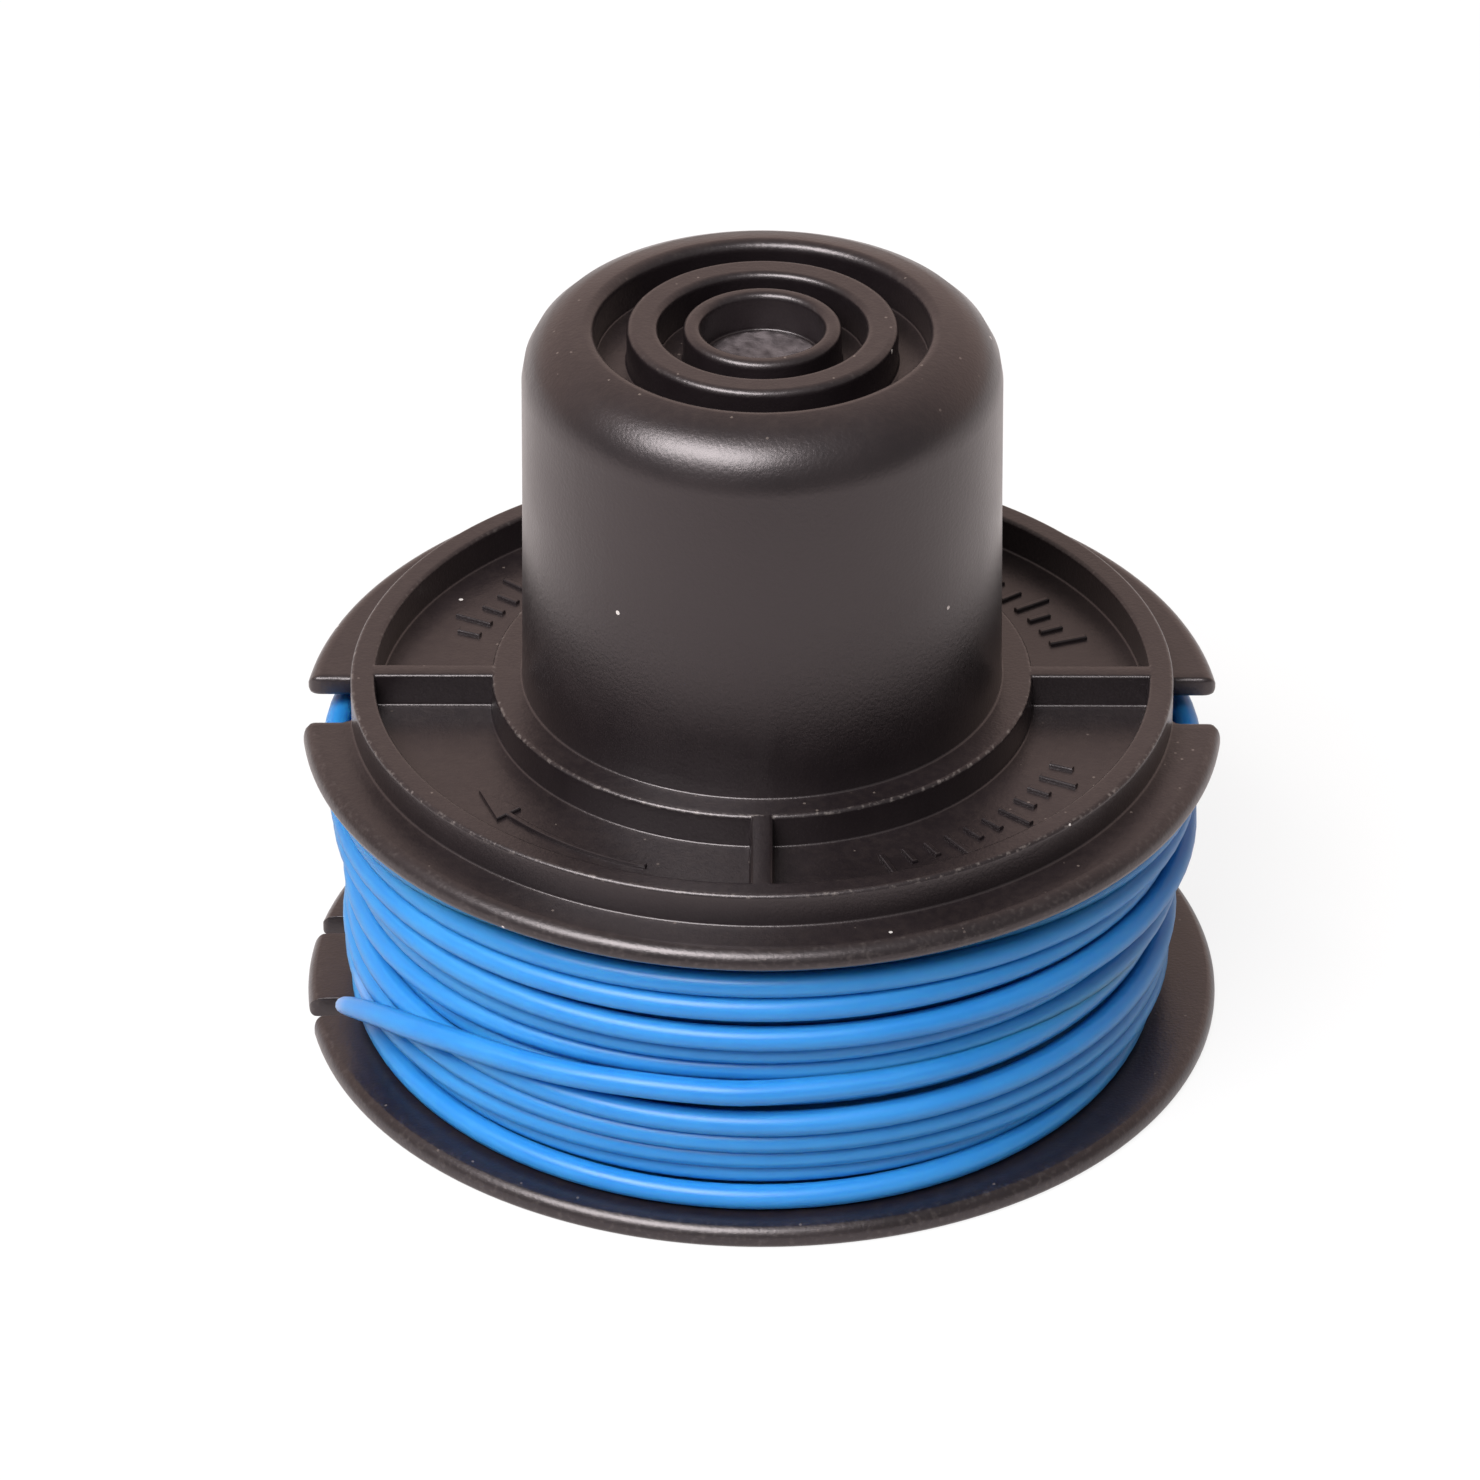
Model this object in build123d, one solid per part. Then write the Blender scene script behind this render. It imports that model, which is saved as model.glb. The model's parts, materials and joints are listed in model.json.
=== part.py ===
from build123d import *

import math
import os

# Trimmer line spool, in millimetres. Z is the spool's axis, and z = 0 is the underside of the lower flange.

# Flanges and hub
lower_flange_radius = 30.2
lower_flange_thickness = 1.5
upper_flange_radius = 30.0
upper_flange_thickness = 1.4
upper_rim_bevel = 0.7
winding_height = 19.5  # clear height between the flanges
hub_radius = 22.0
hub_wall = 1.8

# Stiffening rings and ribs on the upper flange
rim_ring_inset = 3.2  # from the flange's edge to the ring
rim_ring_wall = 1.6
ring_height = 2.3
rib_width = 1.4
rib_count = 4

# Line slots in the upper flange, one at each side
line_slot_width = 5.3
line_slot_corner = 0.9

# Parking notches in the lower flange, a pair on the side of -X
notch_width = 2.2
notch_depth = 3.6
notch_spacing = 9.8
notch_corner = 0.8

# Bump knob and the collar at its foot
knob_radius = 15.5
knob_height = 25.8  # above the rings
knob_shoulder = 4.6
knob_wall = 2.0
collar_width = 2.1

# Dish in the knob's top, with two round beads standing in it
dish_radius = 10.7
dish_depth = 2.6
dish_floor = 1.8
outer_groove_width = 2.05
outer_bead_width = 2.0
inner_groove_width = 1.6
inner_bead_width = 1.1

# Core, open from below, with index lugs at its inner end
index_lug_count = 4
index_lug_height = 4.0
index_lug_width = 3.4
index_lug_reach = 2.0
index_seat_width = 0.8

# Wound line: each turn's crest stands this far over the lowest one, from the lower flange up
line_diameter = 1.65
roll_depth = 5.0  # from the hub to the lowest crest
turn_lifts = (0.6, 0.1, 0.7, 1.3, 1.6, 0.9, 1.7, 1.9, 1.5)
turn_groove = 0.6
line_clearance = 0.1

# Free end of the line, from the turn it leaves round to the parking notch
tail_turn = 4  # counted from the lower flange
tail_start_angle = 268.0
tail_sink = 0.6  # how far under its turn's crest the free end begins
tail_end_angle = 196.0
tail_gap = 0.15
tail_runs = 4

# Heights and radii that follow from the sizes above
upper_flange_bottom = lower_flange_thickness + winding_height
upper_flange_top = upper_flange_bottom + upper_flange_thickness
ring_top = upper_flange_top + ring_height
knob_top = ring_top + knob_height
core_depth = upper_flange_bottom - index_lug_height
cavity_top = knob_top - dish_depth - dish_floor
core_radius = hub_radius - hub_wall
index_root_radius = core_radius - index_seat_width
cavity_radius = knob_radius - knob_wall
rim_ring_radius = upper_flange_radius - rim_ring_inset
collar_radius = knob_radius + collar_width


def edge_slot(inner, rim, width, corner, low, high):
    """Cutter for a slot along +X from inner out past the rim, with the slot's outer corners rounded."""
    half = width / 2
    mouth = math.sqrt(rim**2 - (half + corner) ** 2)
    bend = corner * (1 - math.sqrt(0.5))
    flare = [
        Line((inner, half), (mouth - corner, half)),
        ThreePointArc((mouth - corner, half), (mouth - bend, half + bend), (mouth, half + corner)),
        Polyline((mouth, half + corner), (rim + width, half + corner), (rim + width, 0)),
    ]
    half_face = make_face(Curve() + flare + Polyline((rim + width, 0), (inner, 0), (inner, half))).face()
    plan = half_face + mirror(half_face, Plane.XZ)
    return Pos(0, 0, low) * extrude(plan, high - low)


def spool_moulding():
    """Flanges, hub, rings and knob as one turned section."""
    bead_radius = dish_radius - outer_groove_width
    inner_groove_radius = bead_radius - outer_bead_width
    inner_bead_radius = inner_groove_radius - inner_groove_width
    hole_radius = inner_bead_radius - inner_bead_width
    dish_bottom = knob_top - dish_depth
    bevel = min(upper_rim_bevel, 0.5 * upper_flange_thickness)
    shoulder = (knob_radius, knob_top)
    outline = [
        (core_radius, 0),
        (lower_flange_radius, 0),
        (lower_flange_radius, lower_flange_thickness),
        (hub_radius, lower_flange_thickness),
        (hub_radius, upper_flange_bottom),
        (upper_flange_radius, upper_flange_bottom),
        (upper_flange_radius, upper_flange_top - bevel),
        (upper_flange_radius - bevel, upper_flange_top),
        (rim_ring_radius, upper_flange_top),
        (rim_ring_radius, ring_top),
        (rim_ring_radius - rim_ring_wall, ring_top),
        (rim_ring_radius - rim_ring_wall, upper_flange_top),
        (collar_radius, upper_flange_top),
        (collar_radius, ring_top),
        (knob_radius, ring_top),
        shoulder,
        (dish_radius, knob_top),
        (dish_radius, dish_bottom),
        (bead_radius, dish_bottom),
        (bead_radius, knob_top),
        (inner_groove_radius, knob_top),
        (inner_groove_radius, dish_bottom),
        (inner_bead_radius, dish_bottom),
        (inner_bead_radius, knob_top),
        (hole_radius, knob_top),
        (hole_radius, dish_bottom),
        (0, dish_bottom),
        (0, cavity_top),
        (cavity_radius, cavity_top),
        (cavity_radius, upper_flange_bottom),
        (index_root_radius, upper_flange_bottom),
        (index_root_radius, core_depth),
        (core_radius, core_depth),
    ]
    face = make_face(Polyline(*outline, close=True)).face()
    corner = face.vertices().sort_by_distance(shoulder)[0]
    face = face.fillet_2d(min(knob_shoulder, 0.98 * (knob_radius - dish_radius)), [corner])
    return revolve(Plane.XZ * face, Axis.Z)


def ribs():
    """Radial ribs from the collar to the rim ring."""
    inner = collar_radius - collar_width / 2
    outer = rim_ring_radius - rim_ring_wall / 2
    rib = Pos((inner + outer) / 2, 0, upper_flange_top + ring_height / 2) * Box(outer - inner, rib_width, ring_height)
    return [Rot(0, 0, 360 * i / rib_count) * rib for i in range(rib_count)]


def index_lugs():
    """Lugs at the core's inner end, which the head's hub catches to turn the spool."""
    inner = index_root_radius - index_lug_reach
    outer = index_root_radius + index_seat_width / 2
    height = core_depth + index_lug_height / 2
    lug = Pos((inner + outer) / 2, 0, height) * Box(outer - inner, index_lug_width, index_lug_height)
    return [Rot(0, 0, 360 * (i + 0.5) / index_lug_count) * lug for i in range(index_lug_count)]


def line_slots():
    """Slots at both sides of the upper flange, which end at the rim ring's outer wall."""
    cutter = edge_slot(
        rim_ring_radius - rim_ring_wall,
        upper_flange_radius,
        line_slot_width,
        line_slot_corner,
        upper_flange_bottom,
        ring_top,
    )
    cutter -= Cylinder(rim_ring_radius, 2 * ring_top)
    return [cutter, Rot(0, 0, 180) * cutter]


def parking_notches():
    """Round-ended notches in the lower flange, side by side."""
    half = notch_width / 2
    rim = math.sqrt(lower_flange_radius**2 - (notch_spacing / 2) ** 2)
    inner = lower_flange_radius - notch_depth + half
    cutter = edge_slot(inner, rim, notch_width, notch_corner, 0, lower_flange_thickness)
    cutter += Pos(inner, 0, lower_flange_thickness / 2) * Cylinder(half, lower_flange_thickness)
    return [Rot(0, 0, 180) * Pos(0, side * notch_spacing / 2, 0) * cutter for side in (-1, 1)]


def spool_body():
    body = spool_moulding() + ribs() + index_lugs()
    return body - line_slots() - parking_notches()


def wound_roll():
    """The wound turns as one ridged roll between the flanges."""
    inner = hub_radius + line_clearance
    bottom = lower_flange_thickness
    top = upper_flange_bottom - line_clearance
    pitch = (top - bottom) / len(turn_lifts)
    crests = [hub_radius + roll_depth + lift for lift in turn_lifts]
    neighbours = [crests[0], *crests, crests[-1]]
    valleys = [min(pair) - turn_groove for pair in zip(neighbours, neighbours[1:])]
    outline = [(inner, top), (inner, bottom)]
    for i, crest in enumerate(crests):
        outline += [(valleys[i], bottom + i * pitch), (crest, bottom + (i + 0.5) * pitch)]
    outline.append((valleys[-1], top))
    return revolve(Plane.XZ * make_face(Polyline(*outline, close=True)), Axis.Z)


def free_end():
    """The line's loose end, one slanting arc from its turn down to the parking notch."""
    half = line_diameter / 2
    pitch = (winding_height - line_clearance) / len(turn_lifts)
    start_radius = hub_radius + roll_depth + turn_lifts[tail_turn] - half - tail_sink
    start_height = lower_flange_thickness + (tail_turn + 0.5) * pitch
    end_radius = hub_radius + roll_depth + turn_lifts[0] + half + tail_gap
    end_height = lower_flange_thickness + half + tail_gap

    def along(share):
        angle = math.radians(tail_start_angle + share * (tail_end_angle - tail_start_angle))
        radius = start_radius + share * (end_radius - start_radius)
        height = start_height + share * (end_height - start_height)
        return (radius * math.cos(angle), radius * math.sin(angle), height)

    path = Polyline(*[along(i / tail_runs) for i in range(tail_runs + 1)])
    return sweep(Plane(origin=path @ 0, z_dir=path % 0) * Circle(half), path, transition=Transition.RIGHT)


def trimmer_line():
    return wound_roll() + free_end()


os.makedirs("parts", exist_ok=True)
export_step(spool_body(), "parts/spool_body.step")
export_step(trimmer_line(), "parts/trimmer_line.step")
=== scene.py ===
import json
import math

import bmesh
import bpy
import numpy as np
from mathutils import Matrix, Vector, noise


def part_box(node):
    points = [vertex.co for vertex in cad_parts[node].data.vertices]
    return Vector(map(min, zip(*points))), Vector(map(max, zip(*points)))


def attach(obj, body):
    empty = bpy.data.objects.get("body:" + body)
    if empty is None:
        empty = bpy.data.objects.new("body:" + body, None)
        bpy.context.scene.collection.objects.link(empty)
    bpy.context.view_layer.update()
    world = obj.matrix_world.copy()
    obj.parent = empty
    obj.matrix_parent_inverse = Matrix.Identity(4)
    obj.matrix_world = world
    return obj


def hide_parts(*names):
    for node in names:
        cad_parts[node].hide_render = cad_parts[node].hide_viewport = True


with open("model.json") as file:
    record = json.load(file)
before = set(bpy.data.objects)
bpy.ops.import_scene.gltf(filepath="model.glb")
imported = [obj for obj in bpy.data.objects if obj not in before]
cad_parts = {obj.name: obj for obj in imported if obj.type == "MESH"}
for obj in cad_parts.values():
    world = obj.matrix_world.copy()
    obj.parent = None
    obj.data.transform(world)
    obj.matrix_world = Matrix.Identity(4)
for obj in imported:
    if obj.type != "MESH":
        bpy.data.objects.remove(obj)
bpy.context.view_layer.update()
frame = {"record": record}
mm = 0.001  # sizes below are in millimetres and become metres here
mountSizes = {mount["name"]: mount["dims"] for mount in frame["record"]["mounts"]}
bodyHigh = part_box("spool_body")[1] / mm
print("frame loaded")


def onCircle(r, angle):
    return (r * math.cos(math.radians(angle)), r * math.sin(math.radians(angle)))


# camera, at the photo's viewing angle

view = {
    "place": (0.0, -462.0, 311.0),
    "target": (-1.43, 0.0, 19.3),
    "lens": 202.9,
    "sensor": 36.0,
}


def addCamera():
    data = bpy.data.cameras.new("camera")
    data.lens = view["lens"]
    data.sensor_width = view["sensor"]
    data.clip_start = 0.01
    camera = bpy.data.objects.new("camera", data)
    bpy.context.scene.collection.objects.link(camera)
    place = Vector(view["place"]) * mm
    camera.location = place
    camera.rotation_euler = (Vector(view["target"]) * mm - place).to_track_quat("-Z", "Y").to_euler()
    bpy.context.scene.camera = camera


# shader helpers

def newMaterial(name):
    material = bpy.data.materials.new(name)
    material.use_nodes = True
    tree = material.node_tree
    tree.nodes.clear()
    output = tree.nodes.new("ShaderNodeOutputMaterial")
    return material, tree, output


def addNode(tree, kind, inputs=None, **settings):
    node = tree.nodes.new(kind)
    for name, value in settings.items():
        setattr(node, name, value)
    for name, value in (inputs or {}).items():
        if isinstance(value, bpy.types.NodeSocket):
            tree.links.new(value, node.inputs[name])
        else:
            node.inputs[name].default_value = value
    return node


def addMath(tree, operation, first, second, third=None):
    inputs = {0: first, 1: second}
    if third is not None:
        inputs[2] = third
    return addNode(tree, "ShaderNodeMath", inputs, operation=operation).outputs[0]


def mapRange(tree, value, low, high, toLow=0.0, toHigh=1.0):
    inputs = {"Value": value, "From Min": low, "From Max": high, "To Min": toLow, "To Max": toHigh}
    return addNode(tree, "ShaderNodeMapRange", inputs).outputs["Result"]


def mixColor(tree, factor, first, second):
    node = addNode(tree, "ShaderNodeMix", {"Factor": factor}, data_type="RGBA")
    for socket, value in ((node.inputs[6], first), (node.inputs[7], second)):
        if isinstance(value, bpy.types.NodeSocket):
            tree.links.new(value, socket)
        else:
            socket.default_value = value
    return node.outputs[2]


def addClouds(tree, scale, detail):
    place = addNode(tree, "ShaderNodeTexCoord").outputs["Object"]
    settings = {"Vector": place, "Scale": scale, "Detail": detail}
    return addNode(tree, "ShaderNodeTexNoise", settings).outputs["Fac"]


def newGroup(name, inputs, outputs):
    group = bpy.data.node_groups.new(name, "ShaderNodeTree")
    for label, kind, value in inputs:
        socket = group.interface.new_socket(label, in_out="INPUT", socket_type=kind)
        socket.default_value = value
    for label, kind in outputs:
        group.interface.new_socket(label, in_out="OUTPUT", socket_type=kind)
    return group, group.nodes.new("NodeGroupInput"), group.nodes.new("NodeGroupOutput")


def placeGroup(tree, group, values):
    node = addNode(tree, "ShaderNodeGroup", node_tree=group)
    for name, value in values.items():
        if isinstance(value, bpy.types.NodeSocket):
            tree.links.new(value, node.inputs[name])
        else:
            node.inputs[name].default_value = value
    return node


def buildMottleGroup():
    # uneven tone and gloss of a moulded or drawn plastic
    group, start, end = newGroup(
        "plasticMottle",
        [
            ("Color", "NodeSocketColor", (0.5, 0.5, 0.5, 1)),
            ("Pale Color", "NodeSocketColor", (0.6, 0.6, 0.6, 1)),
            ("Patch Scale", "NodeSocketFloat", 150.0),
            ("Patch Amount", "NodeSocketFloat", 0.5),
            ("Roughness", "NodeSocketFloat", 0.4),
            ("Roughness Spread", "NodeSocketFloat", 0.1),
        ],
        [("Color", "NodeSocketColor"), ("Roughness", "NodeSocketFloat")],
    )
    place = addNode(group, "ShaderNodeTexCoord").outputs["Object"]
    settings = {"Vector": place, "Scale": start.outputs["Patch Scale"], "Detail": 5.0, "Roughness": 0.6}
    patches = mapRange(group, addNode(group, "ShaderNodeTexNoise", settings).outputs["Fac"], 0.35, 0.7)
    share = addMath(group, "MULTIPLY", patches, start.outputs["Patch Amount"])
    color = mixColor(group, share, start.outputs["Color"], start.outputs["Pale Color"])
    group.links.new(color, end.inputs["Color"])
    swing = addMath(group, "SUBTRACT", patches, 0.5)
    spread = addMath(group, "MULTIPLY", swing, start.outputs["Roughness Spread"])
    rough = addMath(group, "ADD", spread, start.outputs["Roughness"])
    group.links.new(rough, end.inputs["Roughness"])
    return group


def buildGrainGroup():
    # fine unevenness of a moulded or drawn surface, as a height
    group, start, end = newGroup(
        "fineGrain",
        [("Scale", "NodeSocketFloat", 2000.0), ("Detail", "NodeSocketFloat", 4.0)],
        [("Height", "NodeSocketFloat")],
    )
    place = addNode(group, "ShaderNodeTexCoord").outputs["Object"]
    settings = {"Vector": place, "Scale": start.outputs["Scale"], "Detail": start.outputs["Detail"]}
    grain = addNode(group, "ShaderNodeTexNoise", settings).outputs["Fac"]
    group.links.new(grain, end.inputs["Height"])
    return group


def buildSpeckGroup():
    # stray specks of dust, as a mask
    group, start, end = newGroup(
        "dustSpecks",
        [
            ("Spacing Scale", "NodeSocketFloat", 250.0),
            ("Share", "NodeSocketFloat", 0.1),
            ("Size", "NodeSocketFloat", 0.1),
        ],
        [("Mask", "NodeSocketFloat")],
    )
    place = addNode(group, "ShaderNodeTexCoord").outputs["Object"]
    cells = addNode(group, "ShaderNodeTexVoronoi", {"Vector": place, "Scale": start.outputs["Spacing Scale"]})
    chance = addNode(group, "ShaderNodeSeparateColor", {"Color": cells.outputs["Color"]}).outputs["Red"]
    chosen = addMath(group, "LESS_THAN", chance, start.outputs["Share"])
    near = addMath(group, "LESS_THAN", cells.outputs["Distance"], start.outputs["Size"])
    group.links.new(addMath(group, "MULTIPLY", chosen, near), end.inputs["Mask"])
    return group


# black moulded plastic of the spool

spoolFinish = {
    "color": (0.0076, 0.0053, 0.0063, 1),
    "paleColor": (0.0118, 0.0083, 0.0094, 1),
    "patchScale": 130.0,
    "patchAmount": 1.0,
    "roughness": 0.35,
    "roughnessSpread": 0.12,
    "specular": 0.54,
    "specularTint": (1.0, 0.88, 0.90, 1),
    "skin": 0.62,  # smooth moulded skin over the grain
    "skinRoughness": 0.33,
    "grain": {"Scale": 4000.0, "Detail": 4.0},  # about 0.25 mm from bump to bump
    "grainDepth": 0.000036,
    "grainStrength": 0.80,
    # dust on what faces up, as a film and as fine specks, and larger specks all over
    "facesUp": (0.4, 1.0),  # the normal's height, from no dust to all of it
    "filmColor": (0.045, 0.034, 0.030, 1),
    "filmScale": 1500.0,
    "filmRange": (0.42, 0.68),
    "filmAmount": 0.16,
    "settledColor": (0.11, 0.09, 0.08, 1),
    "settled": {"Spacing Scale": 900.0, "Share": 0.45, "Size": 0.085},
    "dustColor": (0.60, 0.58, 0.56, 1),
    "dust": {"Spacing Scale": 210.0, "Share": 0.8, "Size": 0.034},
    # rubbed edges, broken up into dots; the pale dots are also a painted highlight for the edges' glints
    "wornAndGlintColor": (0.17, 0.15, 0.14, 1),
    "wornAndGlintScale": 2600.0,
    "wornAndGlintRange": (0.52, 0.74),
    "wornAndGlintFade": 1.5,
    # rough floor of the hole in the knob
    "holeColor": (0.112, 0.096, 0.100, 1),
    "holeScale": 1100.0,
    "holeRange": (0.30, 0.62, 0.35, 1.0),
    "holeBump": 6.0,  # times the grain's depth
    "holeRoughness": 0.25,  # more than elsewhere
}


def makeSpoolPlastic(mottle, grain, specks):
    finish = spoolFinish
    material, tree, output = newMaterial("spoolPlastic")
    base = placeGroup(tree, mottle, {
        "Color": finish["color"],
        "Pale Color": finish["paleColor"],
        "Patch Scale": finish["patchScale"],
        "Patch Amount": finish["patchAmount"],
        "Roughness": finish["roughness"],
        "Roughness Spread": finish["roughnessSpread"],
    })
    # film of dust
    facing = addNode(tree, "ShaderNodeNewGeometry").outputs["Normal"]
    height = addNode(tree, "ShaderNodeSeparateXYZ", {"Vector": facing}).outputs["Z"]
    upward = mapRange(tree, height, *finish["facesUp"])
    flecks = mapRange(tree, addClouds(tree, finish["filmScale"], 5.0), *finish["filmRange"])
    film = addMath(tree, "MULTIPLY", addMath(tree, "MULTIPLY", upward, flecks), finish["filmAmount"])
    color = mixColor(tree, film, base.outputs["Color"], finish["filmColor"])
    # rubbed edges, paler in dots, which are also a painted highlight for the edges' glints
    edge = addNode(tree, "ShaderNodeAttribute", attribute_name="edgeWearAndGlint").outputs["Fac"]
    dots = mapRange(tree, addClouds(tree, finish["wornAndGlintScale"], 4.0), *finish["wornAndGlintRange"])
    wornAndGlint = addMath(tree, "MULTIPLY", addMath(tree, "POWER", edge, finish["wornAndGlintFade"]), dots)
    color = mixColor(tree, wornAndGlint, color, finish["wornAndGlintColor"])
    # floor of the hole
    rough = addNode(tree, "ShaderNodeAttribute", attribute_name="roughFloor").outputs["Fac"]
    coarse = addClouds(tree, finish["holeScale"], 6.0)
    torn = addMath(tree, "MULTIPLY", rough, mapRange(tree, coarse, *finish["holeRange"]))
    color = mixColor(tree, torn, color, finish["holeColor"])
    # specks of dust
    settled = placeGroup(tree, specks, finish["settled"]).outputs["Mask"]
    color = mixColor(tree, addMath(tree, "MULTIPLY", settled, upward), color, finish["settledColor"])
    dust = placeGroup(tree, specks, finish["dust"]).outputs["Mask"]
    color = mixColor(tree, dust, color, finish["dustColor"])
    # moulded grain, coarser in the hole
    fine = placeGroup(tree, grain, finish["grain"]).outputs["Height"]
    deep = addMath(tree, "MULTIPLY", coarse, addMath(tree, "MULTIPLY", rough, finish["holeBump"]))
    bump = addNode(tree, "ShaderNodeBump", {
        "Height": addMath(tree, "ADD", fine, deep),
        "Strength": finish["grainStrength"],
        "Distance": finish["grainDepth"],
    })
    rougher = addMath(tree, "MULTIPLY", rough, finish["holeRoughness"])
    shader = addNode(tree, "ShaderNodeBsdfPrincipled", {
        "Base Color": color,
        "Roughness": addMath(tree, "ADD", base.outputs["Roughness"], rougher),
        "Normal": bump.outputs["Normal"],
        "Specular IOR Level": finish["specular"],
        "Specular Tint": finish["specularTint"],
        "Coat Weight": addMath(tree, "MULTIPLY_ADD", rough, -finish["skin"], finish["skin"]),
        "Coat Roughness": finish["skinRoughness"],
    })
    tree.links.new(shader.outputs["BSDF"], output.inputs["Surface"])
    return material


# blue nylon of the line

lineFinish = {
    "color": (0.020, 0.224, 0.575, 1),
    "paleColor": (0.034, 0.272, 0.630, 1),
    "patchScale": 90.0,
    "patchAmount": 0.8,
    "roughness": 0.40,
    "roughnessSpread": 0.12,
    "specular": 0.44,
    "subsurface": 0.75,
    "subsurfaceRadius": (0.5, 0.8, 1.0),
    "subsurfaceScale": 0.0015,
    "scuff": {"Scale": 1800.0, "Detail": 3.0},
    "scuffDepth": 0.00003,
    "scuffStrength": 0.14,
    "tipColor": (0.24, 0.39, 0.70, 1),  # bleached cut end
    "tipReach": 3.0,
}


def makeLineNylon(mottle, grain):
    finish = lineFinish
    material, tree, output = newMaterial("lineNylon")
    base = placeGroup(tree, mottle, {
        "Color": finish["color"],
        "Pale Color": finish["paleColor"],
        "Patch Scale": finish["patchScale"],
        "Patch Amount": finish["patchAmount"],
        "Roughness": finish["roughness"],
        "Roughness Spread": finish["roughnessSpread"],
    })
    angle, height, radius = winding["freeEnd"][-1]
    tip = (*(Vector(onCircle(radius, angle)) * mm), height * mm)
    place = addNode(tree, "ShaderNodeTexCoord").outputs["Object"]
    away = addNode(tree, "ShaderNodeVectorMath", {0: place, 1: tip}, operation="DISTANCE").outputs["Value"]
    bleached = mapRange(tree, away, 0.0, finish["tipReach"] * mm, 1.0, 0.0)
    scuff = placeGroup(tree, grain, finish["scuff"]).outputs["Height"]
    bump = addNode(tree, "ShaderNodeBump", {
        "Height": scuff,
        "Strength": finish["scuffStrength"],
        "Distance": finish["scuffDepth"],
    })
    shader = addNode(tree, "ShaderNodeBsdfPrincipled", {
        "Base Color": mixColor(tree, bleached, base.outputs["Color"], finish["tipColor"]),
        "Roughness": base.outputs["Roughness"],
        "Normal": bump.outputs["Normal"],
        "Specular IOR Level": finish["specular"],
        "Subsurface Weight": finish["subsurface"],
        "Subsurface Radius": finish["subsurfaceRadius"],
        "Subsurface Scale": finish["subsurfaceScale"],
    })
    tree.links.new(shader.outputs["BSDF"], output.inputs["Surface"])
    return material


# wound line, one length from the hub out to the free end

winding = {
    "diameter": 1.65,
    "hubRadius": 22.0,
    "hubGap": 0.03,
    "innerLayers": 3,
    "innerTurns": 8,  # in each inner layer
    "lowHeight": 2.4,
    "highHeight": 19.9,
    "pointsPerTurn": 24,
    "roundSteps": 4,
    "lengthSteps": 4,
    "shiftShare": 0.2,  # of a turn, each side of the back, where a turn moves to its next height
    # outer turns from the lower flange up and down again: height and radius in front, left and right
    "outerTurns": [
        ((2.35, 27.75), (2.35, 26.45), (2.40, 25.4)),
        ((3.80, 26.70), (3.60, 25.6), (3.40, 25.0)),
        ((5.20, 27.20), (4.90, 26.8), (4.10, 26.2)),
        ((6.75, 27.75), (6.80, 26.9), (5.70, 26.2)),
        ((8.35, 28.20), (8.50, 26.7), (7.60, 26.6)),
        ((9.90, 27.00), (9.40, 25.6), (9.20, 25.7)),
        ((11.85, 27.0), (10.6, 26.8), (11.1, 26.8)),
        ((13.55, 27.6), (12.5, 26.3), (12.6, 26.0)),
        ((16.0, 26.90), (14.8, 25.8), (14.6, 25.9)),
        ((17.9, 26.60), (16.8, 25.8), (17.2, 25.9)),
        ((19.6, 26.50), (19.1, 28.0), (18.8, 28.1)),
        ((18.9, 28.10), (17.8, 27.3), (17.2, 27.7)),
        ((17.2, 28.30), (16.4, 27.6), (15.8, 26.8)),
        ((15.0, 28.40), (14.9, 27.4), (14.2, 27.8)),
    ],
    # angle, height and radius along the free end
    "freeEnd": [
        (90, 13.6, 28.5), (70, 12.7, 28.0), (45, 11.6, 27.2), (22, 10.9, 26.6), (0, 10.6, 26.4),
        (-22, 10.55, 26.7), (-45, 10.6, 27.5), (-67, 10.75, 28.2), (-90, 10.85, 28.4), (-100, 10.95, 28.4),
        (-108, 10.85, 28.4), (-116, 10.5, 28.35), (-124, 10.15, 28.3), (-129, 9.9, 28.3), (-134, 9.5, 28.3),
        (-140, 8.75, 28.3), (-144, 8.2, 28.35), (-148, 7.6, 28.4), (-153, 6.6, 28.45), (-158, 5.4, 28.5),
        (-161, 4.6, 28.5), (-162.6, 4.1, 28.5),
    ],
    "tipShares": [1.0, 0.98, 0.95, 0.90, 0.83, 0.76, 0.66],  # of the line's thickness, over its last points
}


def turnList():
    # each turn as its height and radius in front, on the left, at the back and on the right
    rise = winding["highHeight"] - winding["lowHeight"]
    pitch = rise / (winding["innerTurns"] - 0.5)
    step = math.sqrt(winding["diameter"] ** 2 - (pitch / 2) ** 2)
    turns = []
    for layer in range(winding["innerLayers"]):
        radius = winding["hubRadius"] + winding["diameter"] / 2 + winding["hubGap"] + layer * step
        low = winding["lowHeight"] + pitch / 2 * (layer % 2)
        heights = [low + pitch * i for i in range(winding["innerTurns"])]
        if layer % 2 == 0:
            heights.reverse()
        turns += [[(height, radius)] * 4 for height in heights]
    for front, left, right in winding["outerTurns"]:
        back = [(a + b) / 2 for a, b in zip(left, right)]
        turns.append([front, left, back, right])
    return turns


def placeOnTurn(turn, angle):
    # height and radius where a turn passes this angle, eased from one side to the next
    quarter, along = divmod(((270 - angle) % 360) / 90, 1)
    first, second = turn[int(quarter)], turn[(int(quarter) + 1) % 4]
    share = math.sin(along * math.pi / 2) ** 2
    return [a + (b - a) * share for a, b in zip(first, second)]


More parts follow.
